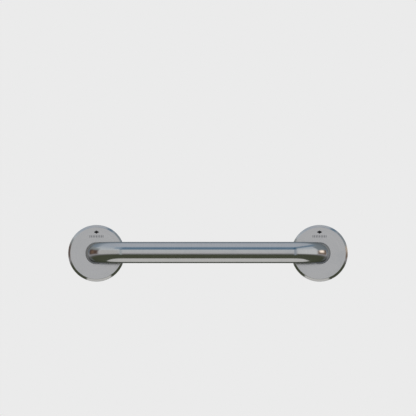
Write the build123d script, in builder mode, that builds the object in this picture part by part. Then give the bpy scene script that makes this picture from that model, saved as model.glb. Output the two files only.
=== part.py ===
"""Wall grab rail: a bent steel tube on two screwed wall plates, each hidden by a sliding cover.

Millimetres.  The wall is the XZ plane, the rail runs along X, stands off the wall towards -Y, and
+Z is up.  The origin is on the wall, midway between the two legs.
"""

import os
from math import cos, radians, sin

from build123d import *

# Rail
leg_centres = 300.0  # from one leg's axis to the other's
projection = 75.0  # wall to the front of the tube
tube_diameter = 28.6
tube_wall = 1.5
bend_radius = 35.0  # at the tube's centre line

# Covers
cover_diameter = 76.0
cover_height = 12.5  # wall to the cover's front face
cover_sheet = 1.0
cover_bevel = 3.0  # across and down, round the front edge
cover_bevel_rounding = 0.6  # on the bevel's two edges
cover_wall_gap = 0.5  # the cover's rim stops this far off the wall
cover_tube_gap = 0.3  # all round the tube, in the cover's hole
dimple_count = 3
dimple_diameter = 3.6
dimple_taper = 45.0
dimple_grip_gap = 0.1  # left between a dimple and the plate's edge
dent_depth = 0.4  # a dimple's hollow in the cover's outer side

# Wall plates, their welds and gaskets
plate_thickness = 3.0
plate_edge_gap = 0.5  # from the plate's edge to the cover's inner side
plate_edge_chamfer = 0.4
weld_leg = 2.2
weld_crown = 0.25  # how far the bead's face bulges
gasket_thickness = 1.0
gasket_inset = 1.0  # the gasket's edge, inside the plate's edge
gasket_bore_diameter = 32.0

# Screws
screw_hole_diameter = 6.5
screw_head_diameter = 10.0
screw_head_height = 3.4
screw_head_rounding = 1.6
screw_neck_diameter = 4.0
screw_thread_diameter = 5.5
screw_length = 40.0  # under the head, with the point
screw_point_length = 6.0
screw_point_tip = 0.5
recess_span = 5.0
recess_width = 1.2
recess_depth = 1.9

# Worked out from the sizes above
tube_radius = tube_diameter / 2
centre_line_standoff = projection - tube_radius
cover_radius = cover_diameter / 2
cover_inner_radius = cover_radius - cover_sheet
cover_hole_radius = tube_radius + cover_tube_gap
plate_radius = cover_inner_radius - plate_edge_gap
plate_face = gasket_thickness + plate_thickness
weld_outer_radius = tube_radius + weld_leg
screw_circle_radius = (weld_outer_radius + plate_radius) / 2
cover_travel = centre_line_standoff - bend_radius - cover_height

# Turned from each plate's outer side: one screw points away from the rail, two towards it
screw_angles = {"outer": 0, "upper": 120, "lower": -120}

os.makedirs("parts", exist_ok=True)


def screw_places(side):
    """Where a plate's screws stand, measured from its centre along X and Z."""
    return {
        place: (
            side * screw_circle_radius * cos(radians(angle)),
            screw_circle_radius * sin(radians(angle)),
        )
        for place, angle in screw_angles.items()
    }


def facing_axis(centre, angle, radius, standoff):
    """A plane on a round wall's surface, at this angle round the leg, facing the leg's axis."""
    outward = Vector(cos(radians(angle)), 0, sin(radians(angle)))
    return Plane(
        origin=Vector(centre, -standoff, 0) + outward * radius,
        x_dir=(0, 1, 0),
        z_dir=-outward,
    )


# The tube's square-cut ends stand on the faces of the two plates
with BuildPart() as rail_tube:
    with BuildLine() as centre_line:
        FilletPolyline(
            (-leg_centres / 2, -plate_face, 0),
            (-leg_centres / 2, -centre_line_standoff, 0),
            (leg_centres / 2, -centre_line_standoff, 0),
            (leg_centres / 2, -plate_face, 0),
            radius=bend_radius,
        )
    with BuildSketch(Plane(origin=centre_line.line @ 0, z_dir=centre_line.line % 0)):
        Circle(tube_radius)
        Circle(tube_radius - tube_wall, mode=Mode.SUBTRACT)
    sweep(path=centre_line.line)
rail_tube.part.label = "rail_tube"
export_step(rail_tube.part, "parts/rail_tube.step")

for side_name, side in (("left", -1), ("right", 1)):
    leg_x = side * leg_centres / 2
    # This plane's normal points off the wall; its X and Y are the world's X and Z
    wall = Plane(origin=(leg_x, 0, 0), x_dir=(1, 0, 0), z_dir=(0, -1, 0))
    # This one cuts the leg lengthways: X is the distance from its axis, Y is the world's Y
    leg_section = Plane(origin=(leg_x, 0, 0), x_dir=(1, 0, 0), z_dir=(0, 0, 1))
    leg_axis = Axis(origin=(leg_x, 0, 0), direction=(0, 1, 0))
    places = screw_places(side)

    with BuildPart() as gasket:
        with BuildSketch(wall):
            Circle(plate_radius - gasket_inset)
            Circle(gasket_bore_diameter / 2, mode=Mode.SUBTRACT)
            with Locations(*places.values()):
                Circle(screw_hole_diameter / 2, mode=Mode.SUBTRACT)
        extrude(amount=gasket_thickness)
    gasket.part.label = f"{side_name}_gasket"
    export_step(gasket.part, f"parts/{side_name}_gasket.step")

    with BuildPart() as wall_plate:
        with BuildSketch(wall.offset(gasket_thickness)):
            Circle(plate_radius)
            with Locations(*places.values()):
                Circle(screw_hole_diameter / 2, mode=Mode.SUBTRACT)
        extrude(amount=plate_thickness)
        rim_edges = wall_plate.edges().filter_by(GeomType.CIRCLE).sort_by(SortBy.RADIUS)[-2:]
        chamfer(rim_edges, length=plate_edge_chamfer)
    wall_plate.part.label = f"{side_name}_wall_plate"
    export_step(wall_plate.part, f"parts/{side_name}_wall_plate.step")

    with BuildPart() as weld_bead:
        with BuildSketch(leg_section):
            with BuildLine():
                toe = (weld_outer_radius, -plate_face)
                top = (tube_radius, -plate_face - weld_leg)
                crown_reach = weld_leg / 2 + weld_crown
                ThreePointArc(toe, (tube_radius + crown_reach, -plate_face - crown_reach), top)
                Polyline(top, (tube_radius, -plate_face), toe)
            make_face()
        revolve(axis=leg_axis)
    weld_bead.part.label = f"{side_name}_weld_bead"
    export_step(weld_bead.part, f"parts/{side_name}_weld_bead.step")

    for place, (across, up) in places.items():
        with BuildPart() as screw:
            with BuildSketch(wall.offset(plate_face)):
                with Locations((across, up)):
                    Circle(screw_head_diameter / 2)
            extrude(amount=screw_head_height)
            fillet(screw.edges().sort_by(Axis.Y)[0], radius=screw_head_rounding)
            with BuildSketch(wall.offset(plate_face + screw_head_height)):
                with Locations((across, up)):
                    Rectangle(recess_span, recess_width)
                    Rectangle(recess_width, recess_span)
            extrude(amount=-recess_depth, mode=Mode.SUBTRACT)
            with BuildSketch(wall):
                with Locations((across, up)):
                    Circle(screw_neck_diameter / 2)
            extrude(amount=plate_face)
            with BuildSketch(wall):
                with Locations((across, up)):
                    Circle(screw_thread_diameter / 2)
            thread_length = screw_length - plate_face - screw_point_length
            extrude(amount=-thread_length)
            with BuildSketch(wall.offset(-thread_length)):
                with Locations((across, up)):
                    Circle(screw_thread_diameter / 2)
            with BuildSketch(wall.offset(-thread_length - screw_point_length)):
                with Locations((across, up)):
                    Circle(screw_point_tip / 2)
            loft()
        screw.part.label = f"{side_name}_{place}_screw"
        export_step(screw.part, f"parts/{side_name}_{place}_screw.step")

    with BuildPart() as cover:
        with BuildSketch(wall.offset(cover_wall_gap)):
            Circle(cover_radius)
        extrude(amount=cover_height - cover_wall_gap)
        chamfer(cover.edges().sort_by(Axis.Y)[0], length=cover_bevel)
        bevel_edges = cover.edges().filter_by(GeomType.CIRCLE).sort_by(Axis.Y)[:2]
        offset(amount=-cover_sheet, openings=cover.faces().sort_by(Axis.Y)[-1])
        fillet(bevel_edges, radius=cover_bevel_rounding)
        with BuildSketch(wall.offset(cover_height)):
            Circle(cover_hole_radius)
        extrude(amount=-2 * cover_sheet, mode=Mode.SUBTRACT)
        dimple_standoff = gasket_thickness + plate_thickness / 2
        for index in range(dimple_count):
            dimple_angle = 90 + index * 360 / dimple_count
            base_radius = cover_inner_radius + dimple_grip_gap
            with BuildSketch(facing_axis(leg_x, dimple_angle, base_radius, dimple_standoff)):
                Circle(dimple_diameter / 2)
            extrude(amount=plate_edge_gap, taper=dimple_taper)
            with BuildSketch(facing_axis(leg_x, dimple_angle, cover_radius, dimple_standoff)):
                Circle(dimple_diameter / 2 - dent_depth)
            extrude(amount=dent_depth, taper=dimple_taper, mode=Mode.SUBTRACT)
    cover.part.label = f"{side_name}_cover"
    export_step(cover.part, f"parts/{side_name}_cover.step")

tube_length = sum(edge.length for edge in centre_line.edges())
print(f"tube: {tube_length:.1f} mm along its centre line")
print(f"screws: circle of {2 * screw_circle_radius:.2f} mm on each plate")
print(f"covers: {cover_travel:.1f} mm of travel along the straight legs")
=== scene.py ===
# Wall grab rail in satin-polished stainless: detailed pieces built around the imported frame

from math import atan2, cos, hypot, pi, radians, sin, tan

import bmesh
import bpy
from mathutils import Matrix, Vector


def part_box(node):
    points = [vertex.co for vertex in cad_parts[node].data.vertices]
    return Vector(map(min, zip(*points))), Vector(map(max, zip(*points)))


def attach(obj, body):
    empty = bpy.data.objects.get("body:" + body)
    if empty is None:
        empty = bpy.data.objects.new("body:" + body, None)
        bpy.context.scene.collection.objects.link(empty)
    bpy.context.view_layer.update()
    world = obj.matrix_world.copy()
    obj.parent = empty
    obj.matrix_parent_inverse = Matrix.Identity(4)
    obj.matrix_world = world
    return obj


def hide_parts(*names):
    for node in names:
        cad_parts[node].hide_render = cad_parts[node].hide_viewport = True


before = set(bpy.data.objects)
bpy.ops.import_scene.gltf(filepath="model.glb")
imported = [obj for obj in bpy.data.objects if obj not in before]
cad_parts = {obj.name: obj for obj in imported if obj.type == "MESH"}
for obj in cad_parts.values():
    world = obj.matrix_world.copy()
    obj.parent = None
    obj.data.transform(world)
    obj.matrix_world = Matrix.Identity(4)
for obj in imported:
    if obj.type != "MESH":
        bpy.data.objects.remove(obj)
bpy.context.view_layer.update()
print("frame loaded:", len(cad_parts), "nodes")

mm = 0.001
sides = ("left", "right")
scene = bpy.context.scene

# Places and sizes that the frame gives; "standoff" is the distance off the wall, along -Y
tubeLow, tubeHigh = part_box("rail_tube")
tubeRadius = (tubeHigh.z - tubeLow.z) / 2
railStandoff = -tubeLow.y - tubeRadius
coverLow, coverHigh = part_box("left_cover")
coverRadius = (coverHigh.z - coverLow.z) / 2
coverFace, coverRim = -coverLow.y, -coverHigh.y
plateLow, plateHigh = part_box("left_wall_plate")
plateFace, plateBack = -plateLow.y, -plateHigh.y
legX = {side: sum(corner.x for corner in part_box(side + "_cover")) / 2 for side in sides}
screwLow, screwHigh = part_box("left_outer_screw")
screwCircle = abs((screwLow.x + screwHigh.x) / 2 - legX["left"])
firstScrewAngle = {"left": pi, "right": 0.0}    # one screw of each ring points away from the rail


# Node trees

def newTree(name, kind, inputs, outputs):
    # An input is given by its default, or by its kind where it has none
    tree = bpy.data.node_groups.new(name, kind)
    for label, default in inputs.items():
        hasDefault = not isinstance(default, str)
        kindName = ("Int" if isinstance(default, int) else "Float") if hasDefault else default
        socket = tree.interface.new_socket(label, in_out="INPUT",
                                           socket_type="NodeSocket" + kindName)
        if hasDefault:
            socket.default_value = default
    for label, kindName in outputs.items():
        tree.interface.new_socket(label, in_out="OUTPUT", socket_type="NodeSocket" + kindName)
    return tree, tree.nodes.new("NodeGroupInput").outputs, tree.nodes.new("NodeGroupOutput").inputs


def newGeometryTree(name, inputs):
    return newTree(name, "GeometryNodeTree",
                   {"Geometry": "Geometry", **inputs, "Material": "Material"},
                   {"Geometry": "Geometry"})


def setInput(tree, socket, value):
    if isinstance(value, bpy.types.NodeSocket):
        tree.links.new(value, socket)
    else:
        socket.default_value = value


def setInputs(tree, sockets, values):
    for key, value in values.items():
        setInput(tree, sockets[key], value)


def addNode(tree, kind, inputs=None, **settings):
    node = tree.nodes.new(kind)
    for label, value in settings.items():
        setattr(node, label, value)
    setInputs(tree, node.inputs, inputs or {})
    return node.outputs


def maths(tree, operation, *values):
    return addNode(tree, "ShaderNodeMath", dict(enumerate(values)), operation=operation)[0]


def times(tree, first, second):
    return maths(tree, "MULTIPLY", first, second)


def plus(tree, first, second):
    return maths(tree, "ADD", first, second)


def minus(tree, first, second):
    return maths(tree, "SUBTRACT", first, second)


def absolute(tree, value):
    return maths(tree, "ABSOLUTE", value)


def vectorMaths(tree, operation, *values):
    out = addNode(tree, "ShaderNodeVectorMath", dict(enumerate(values)), operation=operation)
    return out["Value"] if operation in ("LENGTH", "DOT_PRODUCT") else out["Vector"]


def separate(tree, vector):
    return addNode(tree, "ShaderNodeSeparateXYZ", {0: vector})


def combine(tree, x=0.0, y=0.0, z=0.0):
    return addNode(tree, "ShaderNodeCombineXYZ", {0: x, 1: y, 2: z})[0]


def smoothStep(tree, value, low, high, fromValue=0.0, toValue=1.0):
    values = dict(enumerate((value, low, high, fromValue, toValue)))
    return addNode(tree, "ShaderNodeMapRange", values, interpolation_type="SMOOTHSTEP")[0]


def noise(tree, point, scale, detail, roughness=0.5, output="Fac"):
    return addNode(tree, "ShaderNodeTexNoise", {"Vector": point, "Scale": scale, "Detail": detail,
                                                "Roughness": roughness})[output]


def onCircle(tree, angle, radius):
    return (times(tree, maths(tree, "COSINE", angle), radius),
            times(tree, maths(tree, "SINE", angle), radius))


def outsideBox(tree, *axes):
    # Distance from a flat box, given the place along each axis and the box's reach along it
    past = [maths(tree, "MAXIMUM", minus(tree, absolute(tree, place), reach), 0.0)
            for place, reach in axes]
    return vectorMaths(tree, "LENGTH", combine(tree, *past))


def ringPoints(tree, count, radius, firstAngle):
    index = addNode(tree, "GeometryNodeInputIndex")[0]
    step = maths(tree, "DIVIDE", 2 * pi, count)
    angle = plus(tree, times(tree, index, step), firstAngle)
    place = combine(tree, *onCircle(tree, angle, radius))
    return addNode(tree, "GeometryNodePoints", {"Count": count, "Position": place})[0]


def joined(tree, *parts):
    node = tree.nodes.new("GeometryNodeJoinGeometry")
    for part in parts:
        tree.links.new(part, node.inputs[0])
    return node.outputs[0]


def captured(tree, geometry, value):
    node = tree.nodes.new("GeometryNodeCaptureAttribute")
    node.capture_items.new("FLOAT", "Value")
    setInputs(tree, node.inputs, {"Geometry": geometry, 1: value})
    return node.outputs["Geometry"], node.outputs[1]


def finishTree(tree, geometry, material, out):
    smooth = addNode(tree, "GeometryNodeSetShadeSmooth", {"Geometry": geometry})["Geometry"]
    real = addNode(tree, "GeometryNodeRealizeInstances", {"Geometry": smooth})["Geometry"]
    coated = addNode(tree, "GeometryNodeSetMaterial", {"Geometry": real, "Material": material})
    setInput(tree, out["Geometry"], coated["Geometry"])


# Meshes

def linked(name, data):
    obj = bpy.data.objects.new(name, data)
    scene.collection.objects.link(obj)
    return obj


def linkedEdit(name, edit):
    mesh = bpy.data.meshes.new(name)
    edit.to_mesh(mesh)
    edit.free()
    return linked(name, mesh)


def addModifierTree(obj, tree, values):
    modifier = obj.modifiers.new(tree.name, "NODES")
    modifier.node_group = tree
    for item in tree.interface.items_tree:
        if item.item_type == "SOCKET" and item.in_out == "INPUT" and item.name in values:
            modifier[item.identifier] = values[item.name]


def plainMesh(obj, name):
    # What the modifiers make of the object, as a new object with a mesh of its own
    evaluated = obj.evaluated_get(bpy.context.evaluated_depsgraph_get())
    mesh = bpy.data.meshes.new_from_object(evaluated)
    mesh.name = name
    bpy.data.objects.remove(obj)
    return linked(name, mesh)


def tidyMesh(obj, mergeDistance=0.002 * mm, smoothAngle=30):
    edit = bmesh.new()
    edit.from_mesh(obj.data)
    bmesh.ops.remove_doubles(edit, verts=edit.verts, dist=mergeDistance)
    bmesh.ops.recalc_face_normals(edit, faces=edit.faces)
    for face in edit.faces:
        face.smooth = True
    for edge in edit.edges:
        if len(edge.link_faces) == 2:
            edge.smooth = edge.calc_face_angle(0) < radians(smoothAngle)
    edit.to_mesh(obj.data)
    edit.free()
    return obj


def arc(centre, radius, fromAngle, toAngle, steps):
    # Points on a round corner, as (distance from the axis, standoff)
    turn = [radians(fromAngle + (toAngle - fromAngle) * k / steps) for k in range(steps + 1)]
    return [(centre[0] + radius * cos(t), centre[1] + radius * sin(t)) for t in turn]


def between(start, end, steps):
    # Points inside a straight run, without its two ends
    return [(start[0] + (end[0] - start[0]) * k / steps, start[1] + (end[1] - start[1]) * k / steps)
            for k in range(1, steps)]


def spin(name, profile, steps, centreX=0.0, shape=None, closed=True):
    # Turns a profile of (radius, standoff) about a leg; shape may move each point of the surface
    edit = bmesh.new()
    rings = []
    for radius, standoff in profile:
        ring = []
        for k in range(steps):
            angle = 2 * pi * k / steps
            r, s = shape(radius, standoff, angle) if shape else (radius, standoff)
            ring.append(edit.verts.new((centreX + r * cos(angle), -s, r * sin(angle))))
            if radius == 0:
                break
        rings.append(ring)
    pairs = list(zip(rings, rings[1:] + rings[:1])) if closed else list(zip(rings, rings[1:]))
    for one, two in pairs:
        for k in range(steps):
            m = (k + 1) % steps
            if len(one) == 1:
                edit.faces.new((one[0], two[k], two[m]))
            elif len(two) == 1:
                edit.faces.new((one[k], two[0], one[m]))
            else:
                edit.faces.new((one[k], two[k], two[m], one[m]))
    return linkedEdit(name, edit)


# Shared surface effects, as shader groups

def makePolishGroup():
    # Fine lines left by a polishing belt; the vector's X runs across the lines
    tree, given, out = newTree(
        "polishLines", "ShaderNodeTree",
        {"Vector": "Vector", "Lines": 9000.0, "Line Length": 0.02, "Dull": 0.2, "Spread": 0.06},
        {"Roughness": "Float", "Height": "Float"})
    x, y, z = (separate(tree, given["Vector"])[k] for k in range(3))
    along = times(tree, given["Lines"], given["Line Length"])
    fine = combine(tree, times(tree, x, given["Lines"]),
                   times(tree, y, along), times(tree, z, along))
    lines = noise(tree, fine, 1.0, 4.0, 0.6)
    broad = noise(tree, given["Vector"], 90.0, 4.0, 0.55)
    swing = times(tree, minus(tree, lines, 0.5), given["Spread"])
    drift = times(tree, minus(tree, broad, 0.5), given["Spread"])
    setInput(tree, out["Roughness"], plus(tree, given["Dull"], plus(tree, swing, drift)))
    setInput(tree, out["Height"], lines)
    return tree


def makeScratchGroup():
    # A few hairline scratches and wipe marks, as masks from 0 to 1
    tree, given, out = newTree(
        "handlingMarks", "ShaderNodeTree",
        {"Vector": "Vector", "Amount": 0.5},
        {"Scratches": "Float", "Smears": "Float"})
    bent = noise(tree, given["Vector"], 25.0, 1.0, output="Color")
    warped = vectorMaths(tree, "ADD", given["Vector"],
                         vectorMaths(tree, "MULTIPLY", bent, (0.03, 0.03, 0.03)))
    cells = addNode(tree, "ShaderNodeTexVoronoi", {"Vector": warped, "Scale": 70.0},
                    feature="DISTANCE_TO_EDGE")["Distance"]
    where = noise(tree, given["Vector"], 140.0, 0.0)
    hair = smoothStep(tree, cells, 0.0, 0.012, 1.0, 0.0)
    kept = smoothStep(tree, where, 0.56, 0.62)
    setInput(tree, out["Scratches"], times(tree, times(tree, hair, kept), given["Amount"]))
    smear = noise(tree, warped, 38.0, 5.0, 0.65)
    setInput(tree, out["Smears"], times(tree, smoothStep(tree, smear, 0.5, 0.72), given["Amount"]))
    return tree


polishGroup = makePolishGroup()
scratchGroup = makeScratchGroup()


def newMaterial(name, shaderKind="ShaderNodeBsdfPrincipled"):
    material = bpy.data.materials.new(name)
    material.use_nodes = True
    tree = material.node_tree
    tree.nodes.clear()
    shader = tree.nodes.new(shaderKind)
    addNode(tree, "ShaderNodeOutputMaterial", {"Surface": shader.outputs[0]})
    return material, tree, shader.inputs


def placeGroup(tree, group, **inputs):
    labelled = {key.replace("_", " "): value for key, value in inputs.items()}
    return addNode(tree, "ShaderNodeGroup", labelled, node_tree=group)


def mixColour(tree, factor, first, second):
    return addNode(tree, "ShaderNodeMix", {"Factor": factor, "A": first, "B": second},
                   data_type="RGBA")["Result"]


def colourRamp(tree, value, stops):
    ramp = tree.nodes.new("ShaderNodeValToRGB")
    setInput(tree, ramp.inputs[0], value)
    elements = ramp.color_ramp.elements
    elements.remove(elements[-1])
    for index, (place, colour) in enumerate(stops):
        stop = elements[0] if index == 0 else elements.new(place)
        stop.position = place
        stop.color = colour
    return ramp.outputs[0]


def bump(tree, height, finish):
    return addNode(tree, "ShaderNodeBump",
                   {"Height": height, "Strength": finish["bumpStrength"],
                    "Distance": finish["bumpDepth"]})["Normal"]


def objectPoint(tree):
    return addNode(tree, "ShaderNodeTexCoord")["Object"]


def legPoint(tree, centreX):
    # Object coordinates measured from a leg's axis: X and Z across it, Y along it
    return addNode(tree, "ShaderNodeMapping",
                   {"Vector": objectPoint(tree), "Location": (-centreX, 0, 0)})[0]


def distanceFromLeg(tree, point):
    axes = separate(tree, point)
    return vectorMaths(tree, "LENGTH", combine(tree, axes["X"], 0.0, axes["Z"]))


def turnedPoint(tree, point, stretch):
    # Distance from the axis first, so that polish lines run round it
    axes = separate(tree, point)
    radius = distanceFromLeg(tree, point)
    angle = maths(tree, "ARCTAN2", axes["Z"], axes["X"])
    reach = times(tree, radius, stretch)
    return combine(tree, plus(tree, radius, axes["Y"]), *onCircle(tree, angle, reach))


# The rail and the covers leave the same polishing belt
satinFinish = {
    "colour": (0.668, 0.663, 0.653, 1),
    "lineColour": (0.62, 0.615, 0.605, 1),
    "lineContrast": (0.3, 0.7),
    "edgeTint": (0.45, 0.46, 0.47, 1),
    "spread": 0.06,
    "smearDull": 0.05,
    "bumpStrength": 0.4,
    "bumpDepth": 0.012 * mm,
}
railFinish = {
    **satinFinish,
    "smearColour": (0.6, 0.6, 0.595, 1),
    "dull": 0.11,
    "lines": 2800.0,
    "marks": 0.6,
}
coverFinish = {
    **satinFinish,
    "smearColour": (0.605, 0.605, 0.6, 1),
    "dull": 0.12,
    "lines": 2400.0,
    "lineStretch": 0.35,
    "marks": 0.45,
    "markDull": 0.25,
    "markCentre": 28.4 * mm,      # lozenge's height above the leg's axis
    "markSize": (3.8 * mm, 2.2 * mm),
    "markEdge": (1.06, 0.94),
    "markColour": (0.012, 0.012, 0.013, 1),
    "markDepth": (0.2 * mm, 0.1 * mm),    # the mark fades out between these depths under the face
    "ticksCentre": 22.6 * mm,
    "ticksSize": (9.9 * mm, 1.5 * mm),
    "tickPitch": 2.2 * mm,
    "tickShare": 0.19,
    "tickColour": (0.2, 0.2, 0.21, 1),
}


def wear(tree, finish, linePoint, markPoint):
    # The polish lines and the handling marks of one finish
    return (placeGroup(tree, polishGroup, Vector=linePoint, Lines=finish["lines"],
                       Dull=finish["dull"], Spread=finish["spread"]),
            placeGroup(tree, scratchGroup, Vector=markPoint, Amount=finish["marks"]))


def satinSteel(tree, shader, finish, linePoint, markPoint):
    # Sets the edge tint and the bump, and returns the metal's colour and roughness
    polish, marks = wear(tree, finish, linePoint, markPoint)
    lined = mixColour(tree, smoothStep(tree, polish["Height"], *finish["lineContrast"]),
                      finish["lineColour"], finish["colour"])
    height = minus(tree, polish["Height"], marks["Scratches"])
    setInputs(tree, shader, {"Specular Tint": finish["edgeTint"],
                             "Normal": bump(tree, height, finish)})
    return (mixColour(tree, marks["Smears"], lined, finish["smearColour"]),
            plus(tree, polish["Roughness"], times(tree, marks["Smears"], finish["smearDull"])))


def makeRailSteel():
    material, tree, shader = newMaterial("satinRailSteel")
    point = addNode(tree, "ShaderNodeAttribute", attribute_name="railCoord")["Vector"]
    metal, rough = satinSteel(tree, shader, railFinish, point, point)
    setInputs(tree, shader, {"Base Color": metal, "Metallic": 1.0, "Roughness": rough})
    return material


def makeCoverSteel(side):
    # A lozenge over a short row of ticks shows which way up the cover goes
    finish = coverFinish
    material, tree, shader = newMaterial("satinCoverSteel_" + side)
    point = legPoint(tree, legX[side])
    turned = turnedPoint(tree, point, finish["lineStretch"])
    metal, rough = satinSteel(tree, shader, finish, turned, point)
    axes = separate(tree, point)
    onFace = smoothStep(tree, axes["Y"], *(depth - coverFace for depth in finish["markDepth"]))
    sideways = absolute(tree, axes["X"])
    fromMark = absolute(tree, minus(tree, axes["Z"], finish["markCentre"]))
    reach = plus(tree, maths(tree, "DIVIDE", sideways, finish["markSize"][0]),
                 maths(tree, "DIVIDE", fromMark, finish["markSize"][1]))
    lozenge = times(tree, smoothStep(tree, reach, *finish["markEdge"]), onFace)
    fromTicks = absolute(tree, minus(tree, axes["Z"], finish["ticksCentre"]))
    inRow = times(tree, maths(tree, "LESS_THAN", sideways, finish["ticksSize"][0]),
                  maths(tree, "LESS_THAN", fromTicks, finish["ticksSize"][1]))
    phase = maths(tree, "PINGPONG", axes["X"], finish["tickPitch"] / 2)
    tick = maths(tree, "LESS_THAN", phase, finish["tickPitch"] * finish["tickShare"])
    ticks = times(tree, times(tree, inRow, tick), onFace)
    etched = mixColour(tree, ticks, metal, finish["tickColour"])
    inked = times(tree, plus(tree, ticks, lozenge), finish["markDull"])
    setInputs(tree, shader, {"Base Color": mixColour(tree, lozenge, etched, finish["markColour"]),
                             "Metallic": minus(tree, 1.0, lozenge),
                             "Roughness": plus(tree, rough, inked)})
    return material


plateFinish = {
    "colour": (0.52, 0.515, 0.5, 1),
    "pitColour": (0.4, 0.395, 0.385, 1),
    "pitContrast": (0.35, 0.7),
    "dull": 0.36,
    "spread": 0.12,
    "lines": 3500.0,
    "marks": 0.9,
    "mottleScale": 420.0,
    "mottleDull": 0.1,
    "bumpStrength": 0.5,
    "bumpDepth": 0.01 * mm,
    # Heat tint round the weld, from blue beside the bead to straw further out
    "tintStart": 2.0 * mm,        # outwards from the tube
    "tintWander": 2.0 * mm,
    "straw": (0.56, 0.44, 0.25, 1),
    "strawWidth": 5.0 * mm,
    "strawStrength": 0.8,
    "blueing": (0.24, 0.27, 0.42, 1),
    "blueingWidth": 2.2 * mm,
    "blueingStrength": 0.85,
}


def makePlateSteel(side):
    finish = plateFinish
    material, tree, shader = newMaterial("millPlateSteel_" + side)
    point = legPoint(tree, legX[side])
    grain, marks = wear(tree, finish, point, point)
    mottle = noise(tree, point, finish["mottleScale"], 6.0, 0.7)
    metal = mixColour(tree, smoothStep(tree, mottle, *finish["pitContrast"]), finish["colour"],
                      finish["pitColour"])
    wander = times(tree, minus(tree, mottle, 0.5), finish["tintWander"])
    reach = minus(tree, plus(tree, distanceFromLeg(tree, point), wander),
                  tubeRadius + finish["tintStart"])
    for tint in ("straw", "blueing"):
        near = smoothStep(tree, reach, finish[tint + "Width"], 0.0)
        metal = mixColour(tree, times(tree, near, finish[tint + "Strength"]), metal, finish[tint])
    rough = plus(tree, grain["Roughness"], times(tree, mottle, finish["mottleDull"]))
    height = minus(tree, mottle, marks["Scratches"])
    setInputs(tree, shader, {"Base Color": metal, "Metallic": 1.0, "Roughness": rough,
                             "Normal": bump(tree, height, finish)})
    return material


weldFinish = {
    "blue": (0.30, 0.31, 0.38, 1),
    "straw": (0.47, 0.37, 0.24, 1),
    "steel": (0.50, 0.47, 0.43, 1),
    "patchScale": 260.0,
    "dull": (0.42, 0.24),         # where it is blue, where it is bare steel
    "grainScale": 2600.0,
    "bumpStrength": 0.4,
    "bumpDepth": 0.02 * mm,
}


def makeWeldSteel():
    material, tree, shader = newMaterial("tintedWeldSteel")
    point = objectPoint(tree)
    patches = noise(tree, point, weldFinish["patchScale"], 4.0, 0.6)
    tints = colourRamp(tree, patches, [(0.3, weldFinish["blue"]), (0.5, weldFinish["straw"]),
                                       (0.7, weldFinish["steel"])])
    rough = smoothStep(tree, patches, 0.2, 0.8, *weldFinish["dull"])
    grain = noise(tree, point, weldFinish["grainScale"], 3.0)
    setInputs(tree, shader, {"Base Color": tints, "Metallic": 1.0, "Roughness": rough,
                             "Normal": bump(tree, grain, weldFinish)})
    return material


screwFinish = {
    "colour": (0.6, 0.595, 0.58, 1),
    "stainColour": (0.48, 0.47, 0.45, 1),
    "stainScale": 700.0,
    "stainContrast": (0.45, 0.75),
    "stainDull": 0.08,
    "dull": 0.24,
    "spread": 0.1,
    "lines": 5200.0,
    "marks": 0.8,
    "bumpStrength": 0.3,
    "bumpDepth": 0.008 * mm,
}


def makeScrewSteel():
    finish = screwFinish
    material, tree, shader = newMaterial("brightScrewSteel")
    point = objectPoint(tree)
    polish, marks = wear(tree, finish, point, point)
    stain = noise(tree, point, finish["stainScale"], 5.0, 0.65)
    metal = mixColour(tree, smoothStep(tree, stain, *finish["stainContrast"]), finish["colour"],
                      finish["stainColour"])
    rough = plus(tree, polish["Roughness"], times(tree, stain, finish["stainDull"]))
    height = minus(tree, times(tree, polish["Height"], 0.3), marks["Scratches"])
    setInputs(tree, shader, {"Base Color": metal, "Metallic": 1.0, "Roughness": rough,
                             "Normal": bump(tree, height, finish)})
    return material


gasketFinish = {
    "colour": (0.018, 0.018, 0.019, 1),
    "dustColour": (0.075, 0.073, 0.07, 1),
    "dustScale": 130.0,
    "dustContrast": (0.5, 0.8),
    "grainScale": 1900.0,
    "dull": (0.62, 0.82),
    "bumpStrength": 0.5,
    "bumpDepth": 0.05 * mm,
}


def makeGasketRubber():
    material, tree, shader = newMaterial("blackGasketRubber")
    point = objectPoint(tree)
    grain = noise(tree, point, gasketFinish["grainScale"], 5.0, 0.7)
    dust = noise(tree, point, gasketFinish["dustScale"], 6.0, 0.75)
    dusted = smoothStep(tree, dust, *gasketFinish["dustContrast"])
    rough = smoothStep(tree, grain, 0.3, 0.7, *gasketFinish["dull"])
    setInputs(tree, shader, {
        "Base Color": mixColour(tree, dusted, gasketFinish["colour"], gasketFinish["dustColour"]),
        "Roughness": rough, "Normal": bump(tree, grain, gasketFinish)})
    return material


railSteel = makeRailSteel()
coverSteel = {side: makeCoverSteel(side) for side in sides}
plateSteel = {side: makePlateSteel(side) for side in sides}
weldSteel = makeWeldSteel()
screwSteel = makeScrewSteel()
gasketRubber = makeGasketRubber()
print("materials made")


# The tube: one sweep along a filleted route

railTube = {
    "bendRadius": 35.0 * mm,
    "wall": 1.5 * mm,
    "stepAlong": 1.25 * mm,
    "stepsAround": 112,
    "bendSteps": 90,
}


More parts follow.
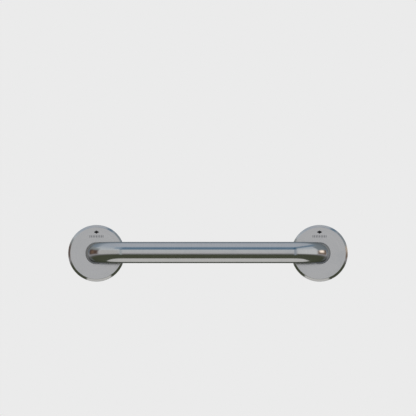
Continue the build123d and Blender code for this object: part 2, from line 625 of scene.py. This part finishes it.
def makeSweepTree():
    tree, given, out = newGeometryTree("bentTube", {
        "Bend Radius": 0.03, "Bend Steps": 60, "Tube Radius": 0.014,
        "Step Along": 0.002, "Steps Around": 96})
    bent = addNode(tree, "GeometryNodeFilletCurve",
                   {"Curve": given["Geometry"], "Radius": given["Bend Radius"],
                    "Count": given["Bend Steps"]}, mode="POLY")["Curve"]
    even = addNode(tree, "GeometryNodeResampleCurve",
                   {"Curve": bent, "Length": given["Step Along"]}, mode="LENGTH")["Curve"]
    ring = addNode(tree, "GeometryNodeCurvePrimitiveCircle",
                   {"Resolution": given["Steps Around"], "Radius": given["Tube Radius"]})["Curve"]
    along = captured(tree, even, addNode(tree, "GeometryNodeSplineParameter")["Length"])
    around = captured(tree, ring, addNode(tree, "GeometryNodeSplineParameter")["Factor"])
    swept = addNode(tree, "GeometryNodeCurveToMesh",
                    {"Curve": along[0], "Profile Curve": around[0]})["Mesh"]
    # The surface as it lay before bending, so that the polish lines run round the tube everywhere
    angle = times(tree, around[1], 2 * pi)
    flat = combine(tree, along[1], *onCircle(tree, angle, given["Tube Radius"]))
    marked = addNode(tree, "GeometryNodeStoreNamedAttribute",
                     {"Geometry": swept, "Name": "railCoord", "Value": flat},
                     data_type="FLOAT_VECTOR")["Geometry"]
    finishTree(tree, marked, given["Material"], out)
    return tree


def makeRail():
    curve = bpy.data.curves.new("railRoute", "CURVE")
    curve.dimensions = "3D"
    line = curve.splines.new("POLY")
    corners = [(legX["left"], -plateFace), (legX["left"], -railStandoff),
               (legX["right"], -railStandoff), (legX["right"], -plateFace)]
    line.points.add(len(corners) - 1)
    for point, (x, y) in zip(line.points, corners):
        point.co = (x, y, 0, 1)
    route = linked("railRoute", curve)
    addModifierTree(route, makeSweepTree(), {
        "Bend Radius": railTube["bendRadius"], "Bend Steps": railTube["bendSteps"],
        "Tube Radius": tubeRadius, "Step Along": railTube["stepAlong"],
        "Steps Around": railTube["stepsAround"], "Material": railSteel})
    skin = tidyMesh(plainMesh(route, "railSkin"))
    wall = skin.modifiers.new("wall", "SOLIDIFY")
    wall.thickness = railTube["wall"]
    wall.offset = -1
    return plainMesh(skin, "railTube")


rail = makeRail()
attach(rail, "rail")
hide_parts("rail_tube")
print("rail tube:", len(rail.data.polygons), "faces")


# The covers: pressed dishes with a bevelled edge and three dimples that grip the plate

coverShape = {
    "sheet": 1.0 * mm,
    "bevel": 3.0 * mm,
    "rounding": 0.6 * mm,
    "holeGap": 0.3 * mm,
    "edgeBreak": 0.12 * mm,
    "cornerHold": 0.05 * mm,      # rows this close to a corner keep the flats flat
    "stepsAround": 480,
    "edgeSteps": 4,
    "cornerSteps": 5,
    "faceSteps": 8,
    "bevelSteps": 6,
    "sideSteps": 34,
    "dimples": 3,
    "dimpleRadius": 2.0 * mm,
    "dimpleDepth": 0.4 * mm,
}


def coverProfile():
    # (distance from the leg's axis, standoff), from the hole's edge out, round the rim and back in
    shape = coverShape
    sheet, bevel, rounding = shape["sheet"], shape["bevel"], shape["rounding"]
    edge, hold = shape["edgeBreak"], shape["cornerHold"]
    edgeSteps, cornerSteps = shape["edgeSteps"], shape["cornerSteps"]
    eighth = tan(pi / 8)
    hole = tubeRadius + shape["holeGap"]
    faceEnd = coverRadius - bevel - rounding * eighth
    sideTop = coverFace - bevel - rounding * eighth
    points = arc((hole + edge, coverFace - edge), edge, 180, 90, edgeSteps)
    points += [(hole + edge + hold, coverFace)]
    points += between((hole + edge, coverFace), (faceEnd, coverFace), shape["faceSteps"])
    points += [(faceEnd - hold, coverFace)]
    points += arc((faceEnd, coverFace - rounding), rounding, 90, 45, cornerSteps)
    lowerCorner = arc((coverRadius - rounding, sideTop), rounding, 45, 0, cornerSteps)
    points += between(points[-1], lowerCorner[0], shape["bevelSteps"]) + lowerCorner
    points += [(coverRadius, sideTop - hold)]
    points += between((coverRadius, sideTop), (coverRadius, coverRim + edge), shape["sideSteps"])
    points += arc((coverRadius - edge, coverRim + edge), edge, 0, -90, edgeSteps)
    inner, innerFace = coverRadius - sheet, coverFace - sheet
    innerBevel = bevel - sheet * (1 - eighth)
    points += arc((inner + edge, coverRim + edge), edge, -90, -180, edgeSteps)
    innerTop = innerFace - innerBevel
    points += between((inner, coverRim + edge), (inner, innerTop), shape["sideSteps"])
    points += [(inner, innerTop), (inner - innerBevel, innerFace)]
    points += between((inner - innerBevel, innerFace), (hole + edge, innerFace),
                      shape["faceSteps"])
    points += arc((hole + edge, innerFace + edge), edge, 270, 180, edgeSteps)
    return points


def dimpled(radius, standoff, angle):
    # Pushes the side in at each dimple; the face stays as it is
    if radius < coverRadius - 1.5 * coverShape["sheet"]:
        return radius, standoff
    middle = (plateFace + plateBack) / 2
    pushed = 0.0
    for k in range(coverShape["dimples"]):
        turn = angle - (pi / 2 + k * 2 * pi / coverShape["dimples"])
        turn = atan2(sin(turn), cos(turn))
        away = hypot(turn * coverRadius, standoff - middle) / coverShape["dimpleRadius"]
        if away < 1:
            pushed = (1 - away * away) ** 2 * coverShape["dimpleDepth"]
    return radius - pushed, standoff


for side in sides:
    cover = tidyMesh(spin(side + "Cover", coverProfile(), coverShape["stepsAround"], legX[side],
                          dimpled))
    cover.data.materials.append(coverSteel[side])
    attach(cover, side + "_cover")
    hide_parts(side + "_cover")
print("covers made")


# Plates and gaskets: discs with a ring of holes, cut by one tree

discShapes = {
    "WallPlate": {"bore": 0.0, "edgeBreak": 0.3 * mm},
    "Gasket": {"bore": 16.0 * mm, "edgeBreak": 0.12 * mm},
    "holeRadius": 3.25 * mm,
    "rimSteps": 256,
    "boreSteps": 128,
    "holeSteps": 64,
    "edgeSegments": 3,
    "sharpAngle": 40,
    "smoothAngle": 50,
}


def makeDiscTree():
    tree, given, out = newGeometryTree("drilledDisc", {
        "Radius": 0.036, "Thickness": 0.003, "Bore Radius": 0.0, "Holes": 3,
        "Hole Radius": 0.003, "Hole Circle": 0.0265, "First Angle": 0.0, "Place": "Vector"})

    def ring(radius, resolution):
        return addNode(tree, "GeometryNodeCurvePrimitiveCircle",
                       {"Resolution": resolution, "Radius": radius})["Curve"]

    centres = ringPoints(tree, given["Holes"], given["Hole Circle"], given["First Angle"])
    holes = addNode(tree, "GeometryNodeInstanceOnPoints",
                    {"Points": centres,
                     "Instance": ring(given["Hole Radius"], discShapes["holeSteps"])})[0]
    hasBore = maths(tree, "GREATER_THAN", given["Bore Radius"], 0.0)
    bore = addNode(tree, "GeometryNodeSwitch",
                   {"Switch": hasBore,
                    "True": ring(given["Bore Radius"], discShapes["boreSteps"])},
                   input_type="GEOMETRY")[0]
    rim = ring(given["Radius"], discShapes["rimSteps"])
    outline = addNode(tree, "GeometryNodeRealizeInstances",
                      {"Geometry": joined(tree, rim, holes, bore)})[0]
    sheet = addNode(tree, "GeometryNodeFillCurve", {"Curve": outline}, mode="NGONS")[0]
    raised = addNode(tree, "GeometryNodeExtrudeMesh",
                     {"Mesh": sheet, "Offset Scale": given["Thickness"], "Individual": False})[0]
    back = addNode(tree, "GeometryNodeFlipFaces", {"Mesh": sheet})[0]
    closed = addNode(tree, "GeometryNodeMergeByDistance",
                     {"Geometry": joined(tree, raised, back), "Distance": 0.001 * mm})[0]
    # The disc is drawn flat and tipped up against the wall
    tipped = addNode(tree, "GeometryNodeTransform",
                     {"Geometry": closed, "Translation": given["Place"],
                      "Rotation": (pi / 2, 0.0, 0.0)})[0]
    finishTree(tree, tipped, given["Material"], out)
    return tree


def makeDisc(side, kind, tree, material):
    shape = discShapes[kind]
    low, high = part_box(f"{side}_wall_plate" if kind == "WallPlate" else f"{side}_gasket")
    blank = linked("blank", bpy.data.meshes.new("blank"))
    addModifierTree(blank, tree, {
        "Radius": (high.z - low.z) / 2, "Thickness": high.y - low.y,
        "Bore Radius": shape["bore"], "Hole Radius": discShapes["holeRadius"],
        "Hole Circle": screwCircle, "First Angle": firstScrewAngle[side],
        "Place": (legX[side], high.y, 0.0), "Material": material})
    disc = tidyMesh(plainMesh(blank, side + kind))
    edges = disc.modifiers.new("edges", "BEVEL")
    edges.width = shape["edgeBreak"]
    edges.segments = discShapes["edgeSegments"]
    edges.limit_method = "ANGLE"
    edges.angle_limit = radians(discShapes["sharpAngle"])
    return tidyMesh(plainMesh(disc, side + kind), smoothAngle=discShapes["smoothAngle"])


discTree = makeDiscTree()
for side in sides:
    plate = makeDisc(side, "WallPlate", discTree, plateSteel[side])
    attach(plate, "rail")
    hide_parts(side + "_wall_plate")
    gasket = makeDisc(side, "Gasket", discTree, gasketRubber)
    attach(gasket, "rail")
    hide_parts(side + "_gasket")
print("plates and gaskets made")


# Weld beads: a fillet round each leg, rippled as it was laid

weldShape = {
    "leg": 2.2 * mm,
    "crown": 0.25 * mm,
    "ripples": 84,
    "rippleHeight": 0.16 * mm,
    "rippleRoundness": 0.6,
    "crescent": 1.6,
    "toeFade": 4.0,               # how sharply the ripples die out at the bead's two edges
    "stepsAround": 840,
    "stepsAcross": 12,
}


def makeRippleTree():
    tree, given, out = newGeometryTree("weldRipples", {
        "Centre": 0.0, "Ripples": 80.0, "Height": 0.0002, "Crescent": 1.5})
    axes = separate(tree, addNode(tree, "GeometryNodeInputPosition")[0])
    angle = maths(tree, "ARCTAN2", axes["Z"], minus(tree, axes["X"], given["Centre"]))
    across = addNode(tree, "GeometryNodeInputNamedAttribute", {"Name": "across"})["Attribute"]
    bow = times(tree, times(tree, across, across), given["Crescent"])
    turns = maths(tree, "DIVIDE", times(tree, angle, given["Ripples"]), 2 * pi)
    saw = maths(tree, "FRACT", minus(tree, turns, bow))
    # Each ripple is a rounded ridge with a sharp valley on either side
    ridge = maths(tree, "POWER", maths(tree, "SINE", times(tree, saw, pi)),
                  weldShape["rippleRoundness"])
    wave = minus(tree, ridge, 0.5)
    edge = minus(tree, 1.0, maths(tree, "POWER", absolute(tree, across), weldShape["toeFade"]))
    lift = times(tree, times(tree, wave, edge), given["Height"])
    normal = addNode(tree, "GeometryNodeInputNormal")[0]
    offset = addNode(tree, "ShaderNodeVectorMath", {0: normal, "Scale": lift},
                     operation="SCALE")["Vector"]
    rippled = addNode(tree, "GeometryNodeSetPosition",
                      {"Geometry": given["Geometry"], "Offset": offset})[0]
    finishTree(tree, rippled, given["Material"], out)
    return tree


def makeWeld(side, tree):
    leg, crown, steps = weldShape["leg"], weldShape["crown"], weldShape["stepsAcross"]
    face = []
    for k in range(steps + 1):
        across = k / steps
        swell = crown * 4 * across * (1 - across)
        face.append((tubeRadius + leg * (1 - across) + swell * cos(pi / 4),
                     plateFace + leg * across + swell * sin(pi / 4)))
    profile = face + [(tubeRadius, plateFace)]
    bead = tidyMesh(spin(side + "Weld", profile, weldShape["stepsAround"], legX[side]))
    # Where each point lies across the face, from -1 at one toe to 1 at the other
    width = bead.data.attributes.new("across", "FLOAT", "POINT")
    for index, vertex in enumerate(bead.data.vertices):
        along = (-vertex.co.y - plateFace) / leg
        out = (hypot(vertex.co.x - legX[side], vertex.co.z) - tubeRadius) / leg
        width.data[index].value = max(-1.0, min(1.0, along - out)) if along + out > 0.5 else 1.0
    addModifierTree(bead, tree, {
        "Centre": legX[side], "Ripples": float(weldShape["ripples"]),
        "Height": weldShape["rippleHeight"], "Crescent": weldShape["crescent"],
        "Material": weldSteel})
    return plainMesh(bead, side + "Weld")


rippleTree = makeRippleTree()
for side in sides:
    weld = makeWeld(side, rippleTree)
    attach(weld, "rail")
    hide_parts(side + "_weld_bead")
print("welds made")


# Screws: one threaded screw, set round each plate by a tree

screwShape = {
    "headRadius": 5.0 * mm,
    "headHeight": 3.4 * mm,
    "headRounding": 1.6 * mm,
    "neckRadius": 2.0 * mm,
    "coreRadius": 1.95 * mm,
    "threadRadius": 2.75 * mm,
    "pitch": 2.1 * mm,
    "ridgeWidth": 0.48,           # of the pitch, at the thread's root
    "ridgeFlat": 1.25,
    "length": 40.0 * mm,
    "lastRow": 0.995,             # the last ring of points, as a share of the thread's length
    "pointLength": 6.0 * mm,
    "pointTip": 0.08,
    "pointThread": 1.5,           # the thread runs on down the point before it fades
    "stepsAround": 48,
    "rowsPerTurn": 14,
    "neckFillet": 0.25 * mm,
    "headEdge": 0.15 * mm,
    "edgeSteps": 3,
    "cornerSteps": 8,
    "headDome": (0.8 * mm, 0.04 * mm, 0.1 * mm),    # reach of its rise, height there, at the top
    "recessSpan": 5.0 * mm,
    "recessWidth": 1.2 * mm,
    "recessDepth": 1.9 * mm,
    "recessFlare": 1.06,
    "recessFloor": 0.62,
    "cutAbove": 0.5 * mm,
    "mergeDistance": 0.0005 * mm,
    "smoothAngle": 35,
    "seeds": {"left": 4, "right": 11},
}


def threadRadiusAt(down, angle):
    # down is the distance under the head; the thread starts at the plate's back
    shape = screwShape
    turns = (down - plateFace) / shape["pitch"]
    tapered = max(0.0, min(1.0, (shape["length"] - down) / shape["pointLength"]))
    core = shape["coreRadius"] * (shape["pointTip"] + (1 - shape["pointTip"]) * tapered)
    across = abs((turns - angle / (2 * pi)) % 1.0 - 0.5) * 2 / shape["ridgeWidth"]
    ridge = min(1.0, max(0.0, 1 - across) * shape["ridgeFlat"])
    fade = max(0.0, min(1.0, turns)) * min(1.0, tapered * shape["pointThread"])
    return core + (shape["threadRadius"] - shape["coreRadius"]) * ridge * fade


def makeScrew():
    # Standoff 0 is the head's seat; the thread runs to negative standoffs
    shape = screwShape
    length, start, core = shape["length"], plateFace, shape["coreRadius"]
    count = round((length - start) / shape["pitch"] * shape["rowsPerTurn"])
    rows = [(0.0, -length)]
    for k in range(count, 0, -1):
        rows.append((core, -(start + (length - start) * k / count * shape["lastRow"])))
    neck, fillet = shape["neckRadius"], shape["neckFillet"]
    rows += [(neck, -start), (neck, -fillet), (neck + fillet, 0.0)]
    head, high, corner = shape["headRadius"], shape["headHeight"], shape["headRounding"]
    edge = shape["headEdge"]
    rows += [(head - edge, 0.0)]
    rows += arc((head - edge, edge), edge, -90, 0, shape["edgeSteps"])
    rows += [(head, high - corner)]
    rows += arc((head - corner, high - corner), corner, 0, 90, shape["cornerSteps"])[1:]
    reach, rise, top = shape["headDome"]
    rows += [(head - corner - reach, high + rise), (0.0, high + top)]

    def threaded(radius, standoff, angle):
        if radius == core:
            return threadRadiusAt(-standoff, angle), standoff
        return radius, standoff

    finish = {"mergeDistance": shape["mergeDistance"], "smoothAngle": shape["smoothAngle"]}
    screw = tidyMesh(spin("screw", rows, shape["stepsAround"], 0.0, threaded, closed=False),
                     **finish)
    cutter = makeRecessCutter()
    cut = screw.modifiers.new("recess", "BOOLEAN")
    cut.operation = "DIFFERENCE"
    cut.solver = "EXACT"
    cut.object = cutter
    screw = plainMesh(screw, "screw")
    bpy.data.objects.remove(cutter)
    return tidyMesh(screw, **finish)


def makeRecessCutter():
    # A cross that narrows towards its floor
    shape = screwShape
    reach, half = shape["recessSpan"] / 2, shape["recessWidth"] / 2
    outline = []
    corners = [(reach, -half), (reach, half), (half, half)]
    for quarter in range(4):
        outline += corners
        corners = [(-z, x) for x, z in corners]
    high = shape["headHeight"]
    edit = bmesh.new()
    upper, lower = ([edit.verts.new((x * share, -standoff, z * share)) for x, z in outline]
                    for standoff, share in ((high + shape["cutAbove"], shape["recessFlare"]),
                                            (high - shape["recessDepth"], shape["recessFloor"])))
    edit.faces.new(upper)
    edit.faces.new(list(reversed(lower)))
    for k in range(len(outline)):
        m = (k + 1) % len(outline)
        edit.faces.new((upper[k], lower[k], lower[m], upper[m]))
    bmesh.ops.recalc_face_normals(edit, faces=edit.faces)
    return linkedEdit("recessCutter", edit)


def makeScrewRingTree():
    tree, given, out = newGeometryTree("screwRing", {
        "Count": 3, "Circle Radius": 0.0265, "First Angle": 0.0, "Place": "Vector", "Seed": 4})
    seats = ringPoints(tree, given["Count"], given["Circle Radius"], given["First Angle"])
    tipped = addNode(tree, "GeometryNodeTransform",
                     {"Geometry": seats, "Rotation": (pi / 2, 0.0, 0.0),
                      "Translation": given["Place"]})[0]
    # Each screw was driven home to an angle of its own
    turn = addNode(tree, "FunctionNodeRandomValue",
                   {2: 0.0, 3: 2 * pi, "Seed": given["Seed"]})[1]
    screws = addNode(tree, "GeometryNodeInstanceOnPoints",
                     {"Points": tipped, "Instance": given["Geometry"],
                      "Rotation": combine(tree, 0.0, turn, 0.0)})[0]
    finishTree(tree, screws, given["Material"], out)
    return tree


screwRingTree = makeScrewRingTree()
screwMesh = makeScrew()
for side in sides:
    screws = linked(side + "Screws", screwMesh.data.copy())
    addModifierTree(screws, screwRingTree, {
        "Circle Radius": screwCircle, "First Angle": firstScrewAngle[side],
        "Place": (legX[side], -plateFace, 0.0), "Seed": screwShape["seeds"][side],
        "Material": screwSteel})
    screws = plainMesh(screws, side + "Screws")
    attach(screws, "rail")
    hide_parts(*(f"{side}_{place}_screw" for place in ("outer", "upper", "lower")))
bpy.data.objects.remove(screwMesh)
print("screws made")


# Studio: pale floor, soft overhead light, and the room that the steel mirrors

room = {
    "steelShare": 0.65,      # how much of the room's light the steel sends back
    "backdrop": 235,
    # Everything below is a colour as it looks in the steel, placed by degrees above the horizon
    "heights": [(-90, (64, 68, 56)), (-52, (65, 68, 56)), (-28, (62, 66, 53)),
                (-20, (86, 86, 82)), (-11, (150, 149, 153)), (-3, (170, 170, 173)),
                (12, (171, 173, 174)), (28, (170, 175, 179)), (60, (150, 158, 168)),
                (90, (160, 163, 169))],
    # Azimuth from the front, half width, elevation, half height, soft edge, colour
    "patches": {
        "backSky": (180, 60, 24, 16, 22, (122, 133, 144)),
        "backWall": (180, 36, -2, 22, 12, (98, 103, 105)),
        "rightWall": (128, 34, 32, 12, 14, (110, 118, 124)),
        "leftScreen": (-46, 26, 6, 12, 12, (163, 163, 163)),
        "rightScreen": (48, 28, 8, 16, 12, (181, 183, 184)),
        "leftPost": (-6, 1, 6, 28, 4, (146, 153, 156)),
        "rightPost": (6.5, 1.5, 2, 28, 4, (130, 137, 146)),
        "leftLintel": (-112, 22, 24, 4, 10, (128, 133, 135)),
        "leftDoor": (-108, 16, 5, 8, 14, (80, 66, 60)),
        "leftDoorPanel": (-111, 3, 5, 5, 8, (102, 84, 70)),
        "rightDoor": (106, 17, 2, 8, 10, (108, 94, 84)),
        "frontWindow": (0, 7, 45, 9, 8, (54, 88, 113)),
        "frontWindowFade": (-16, 10, 48, 4, 11, (126, 141, 156)),
        "lamp": (103, 4, 8.5, 1, 13, (255, 240, 224)),
    },
    # A strip of blue that climbs from the front window over to the right and down behind
    "stripAxis": (0.5025, -0.2034, -0.8403),
    "stripReach": 118,            # degrees from its axis, all along it
    "stripWidth": (2, 11),
    "stripSide": (80, 100),       # it fades out this far round from due right
    "stripAloft": (10, 28),       # and between these heights
    "stripColour": (98, 116, 132),
}


def linear(level):
    share = level / 255
    return share / 12.92 if share < 0.04045 else ((share + 0.055) / 1.055) ** 2.4


def roomColour(colour):
    return tuple(linear(level) / room["steelShare"] for level in colour) + (1,)


def inDegrees(tree, operation, *values):
    return maths(tree, "DEGREES", maths(tree, operation, *values))


def turnFrom(tree, azimuth, centre):
    return maths(tree, "WRAP", minus(tree, azimuth, centre), 180.0, -180.0)


def makePatchGroup():
    tree, given, out = newTree(
        "softPatch", "ShaderNodeTree",
        {"Azimuth": 0.0, "Elevation": 0.0, "Centre": 0.0, "Half Width": 10.0,
         "Height": 0.0, "Half Height": 10.0, "Soft Edge": 5.0},
        {"Mask": "Float"})
    aside = turnFrom(tree, given["Azimuth"], given["Centre"])
    above = minus(tree, given["Elevation"], given["Height"])
    away = outsideBox(tree, (aside, given["Half Width"]), (above, given["Half Height"]))
    setInput(tree, out["Mask"], smoothStep(tree, away, given["Soft Edge"], 0.0))
    return tree


def makeRoom():
    world = bpy.data.worlds.new("studioRoom")
    scene.world = world
    world.use_nodes = True
    tree = world.node_tree
    tree.nodes.clear()
    toward = vectorMaths(tree, "NORMALIZE", addNode(tree, "ShaderNodeTexCoord")["Generated"])
    axes = separate(tree, toward)
    elevation = inDegrees(tree, "ARCSINE", axes["Z"])
    azimuth = inDegrees(tree, "ARCTAN2", axes["X"], times(tree, axes["Y"], -1.0))
    seen = colourRamp(tree, plus(tree, maths(tree, "DIVIDE", elevation, 180.0), 0.5),
                      [(degrees / 180 + 0.5, roomColour(colour))
                       for degrees, colour in room["heights"]])
    apart = inDegrees(tree, "ARCCOSINE",
                      vectorMaths(tree, "DOT_PRODUCT", toward, room["stripAxis"]))
    off = absolute(tree, minus(tree, apart, room["stripReach"]))
    fromRight = absolute(tree, turnFrom(tree, azimuth, 90.0))
    rightHalf = smoothStep(tree, fromRight, *reversed(room["stripSide"]))
    aloft = smoothStep(tree, elevation, *room["stripAloft"])
    strip = times(tree, smoothStep(tree, off, *reversed(room["stripWidth"])),
                  times(tree, rightHalf, aloft))
    seen = mixColour(tree, strip, seen, roomColour(room["stripColour"]))
    patchGroup = makePatchGroup()
    for centre, halfWidth, height, halfHeight, softEdge, colour in room["patches"].values():
        mask = placeGroup(tree, patchGroup, Azimuth=azimuth, Elevation=elevation,
                          Centre=centre, Half_Width=halfWidth, Height=height,
                          Half_Height=halfHeight, Soft_Edge=softEdge)["Mask"]
        seen = mixColour(tree, mask, seen, roomColour(colour))
    direct = addNode(tree, "ShaderNodeLightPath")["Is Camera Ray"]
    backdrop = (linear(room["backdrop"]),) * 3 + (1,)
    shown = addNode(tree, "ShaderNodeBackground",
                    {"Color": mixColour(tree, direct, seen, backdrop)})[0]
    addNode(tree, "ShaderNodeOutputWorld", {"Surface": shown})


# The pale ground that only the steel mirrors: near enough to shift from one end to the other
ground = {
    "drop": 1.1,
    "halfWidth": 0.57,
    "front": -0.5,
    "back": 0.74,
    "cornerRadius": 0.45,
    "softEdge": 0.09,
    "margin": 0.12,          # the panel's dark border
    "colour": (175, 175, 174),
    "edgeColour": (64, 68, 56),
}


def flatSheet(name, halfAcross, halfAlong, height=0.0):
    mesh = bpy.data.meshes.new(name)
    corners = [(-1, -1), (1, -1), (1, 1), (-1, 1)]
    mesh.from_pydata([(x * halfAcross, y * halfAlong, height) for x, y in corners], [],
                     [(0, 1, 2, 3)])
    return linked(name, mesh)


def makeGround():
    middle = (ground["front"] + ground["back"]) / 2
    half = {"X": ground["halfWidth"], "Y": (ground["back"] - ground["front"]) / 2}
    panel = flatSheet("mirroredGround", *(reach + ground["margin"] for reach in half.values()))
    panel.location = (0, middle, -ground["drop"])
    panel.visible_camera = False
    panel.visible_diffuse = False
    panel.visible_shadow = False
    material, tree, shader = newMaterial("mirroredGround", "ShaderNodeEmission")
    material.cycles.emission_sampling = "NONE"
    axes = separate(tree, objectPoint(tree))
    corner, soft = ground["cornerRadius"], ground["softEdge"] / 2
    away = outsideBox(tree, *((axes[axis], reach - corner) for axis, reach in half.items()))
    shine = smoothStep(tree, away, corner + soft, corner - soft)
    setInput(tree, shader["Color"],
             mixColour(tree, shine, roomColour(ground["edgeColour"]), roomColour(ground["colour"])))
    panel.data.materials.append(material)


studio = {
    "floorDrop": 0.9,
    "floorSize": 60.0,
    "floorColour": (0.8, 0.8, 0.8, 1),
    "floorDull": (0.85, 0.95),
    "speckleScale": 40.0,
    "lightStrength": 2.33,
    "lightColour": (1.0, 0.924, 0.848),
    "lightSoftness": 70,
    "lightTilt": (28, 12),
}


def makeStudio():
    half = studio["floorSize"] / 2
    floor = flatSheet("floor", half, half, -studio["floorDrop"])
    floor.visible_glossy = False
    material, tree, shader = newMaterial("paleFloor")
    speckle = noise(tree, objectPoint(tree), studio["speckleScale"], 2.0)
    rough = smoothStep(tree, speckle, 0.3, 0.7, *studio["floorDull"])
    setInputs(tree, shader, {"Base Color": studio["floorColour"], "Roughness": rough})
    floor.data.materials.append(material)
    light = bpy.data.lights.new("softOverhead", "SUN")
    light.energy = studio["lightStrength"]
    light.color = studio["lightColour"]
    light.angle = radians(studio["lightSoftness"])
    overhead = linked("softOverhead", light)
    tilt, swing = studio["lightTilt"]
    overhead.rotation_euler = (radians(tilt), 0, radians(swing))
    overhead.visible_glossy = False


camera = {
    "viewWidth": 559.5 * mm,
    "elevation": -1.05,
    "distance": 1.2,
    "clip": (0.01, 100),
    "railDrop": 60.9 * mm,    # how far the covers' centres lie under the middle of the view
}


def makeCamera():
    data = bpy.data.cameras.new("camera")
    data.type = "ORTHO"
    data.ortho_scale = camera["viewWidth"]
    data.clip_start, data.clip_end = camera["clip"]
    eye = linked("camera", data)
    elevation = radians(camera["elevation"])
    backWay = Vector((0, -cos(elevation), sin(elevation)))
    upWay = Vector((0, sin(elevation), cos(elevation)))
    aim = Vector((0, -(coverFace + coverRim) / 2, 0))
    eye.location = aim + upWay * camera["railDrop"] + backWay * camera["distance"]
    eye.rotation_mode = "QUATERNION"
    eye.rotation_quaternion = (-backWay).to_track_quat("-Z", "Y")
    scene.camera = eye


makeRoom()
makeGround()
makeStudio()
makeCamera()
scene.view_settings.view_transform = "Standard"
print("studio, light and camera set")
